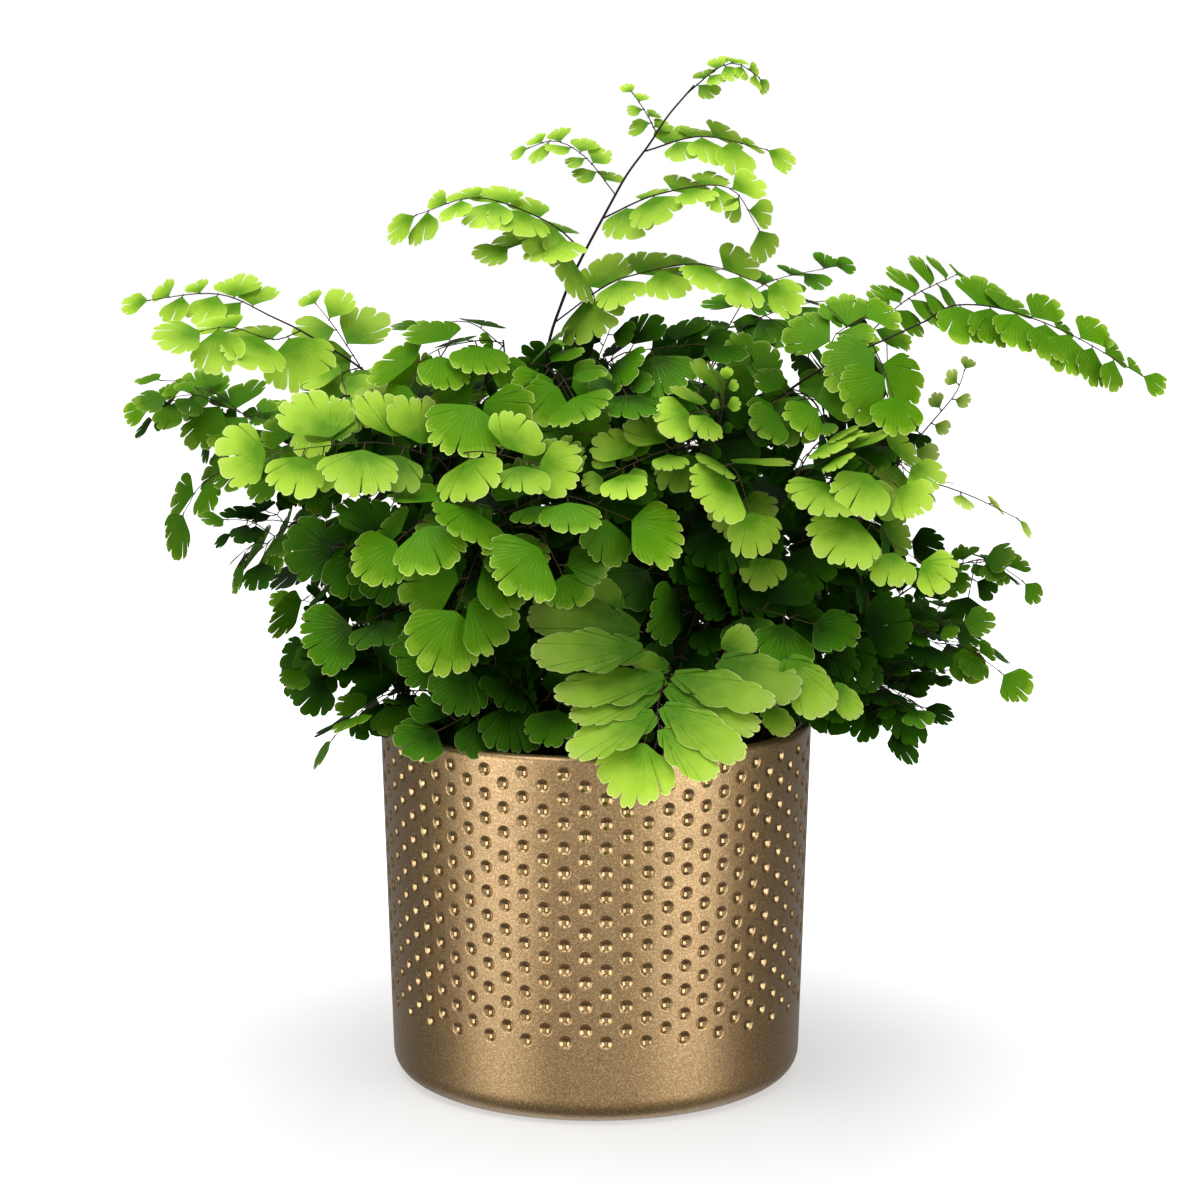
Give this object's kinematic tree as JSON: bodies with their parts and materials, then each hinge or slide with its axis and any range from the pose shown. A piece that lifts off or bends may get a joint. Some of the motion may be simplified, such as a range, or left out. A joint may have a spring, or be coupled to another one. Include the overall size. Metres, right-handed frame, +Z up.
{
  "type": "potted maidenhair fern",
  "caption": "Maidenhair fern with fan-shaped leaflets on wiry dark stalks, growing from compost in a straight-sided dimpled bronze-glazed pot.",
  "frame": {"origin": "middle of the pot's underside, on the pot's axis", "axes": "+Z up along the pot's axis and the plant's height, -Y towards the front, where the frond that hangs over the rim is, +X to the right seen from the front"},
  "size_m": [0.3164, 0.1995, 0.3067],
  "materials": {
    "pot_glaze": "antique bronze metallic glaze, satin, finely grained",
    "compost": "moist dark potting compost, matte",
    "leaf_deep": "deep green fern leaf, soft sheen",
    "leaf_fresh": "fresh green fern leaf, soft sheen",
    "leaf_bright": "bright yellow-green fern leaf, soft sheen",
    "leaf_pale": "pale young fern leaf, soft sheen"
  },
  "bodies": {
    "root": {"frond_back_1": "leaf_deep", "frond_back_2": "leaf_deep", "frond_back_3": "leaf_fresh", "frond_back_4": "leaf_deep", "frond_back_5": "leaf_fresh", "frond_back_6": "leaf_fresh", "frond_crown_left": "leaf_deep", "frond_crown_mid": "leaf_deep", "frond_front": "leaf_fresh", "frond_front_left": "leaf_bright", "frond_front_mid": "leaf_bright", "frond_inner_left": "leaf_deep", "frond_inner_mid": "leaf_deep", "frond_inner_right": "leaf_deep", "frond_left_dark": "leaf_deep", "frond_left_long": "leaf_fresh", "frond_left_low": "leaf_deep", "frond_left_rim": "leaf_deep", "frond_low_mid": "leaf_deep", "frond_over_rim": "leaf_bright", "frond_right_back": "leaf_deep", "frond_right_dark": "leaf_deep", "frond_right_front": "leaf_bright", "frond_right_long": "leaf_fresh", "frond_right_low": "leaf_deep", "frond_right_mid": "leaf_fresh", "frond_tall": "leaf_fresh", "frond_young": "leaf_pale", "pot": "pot_glaze", "soil": "compost"}
  },
  "joints": []
}
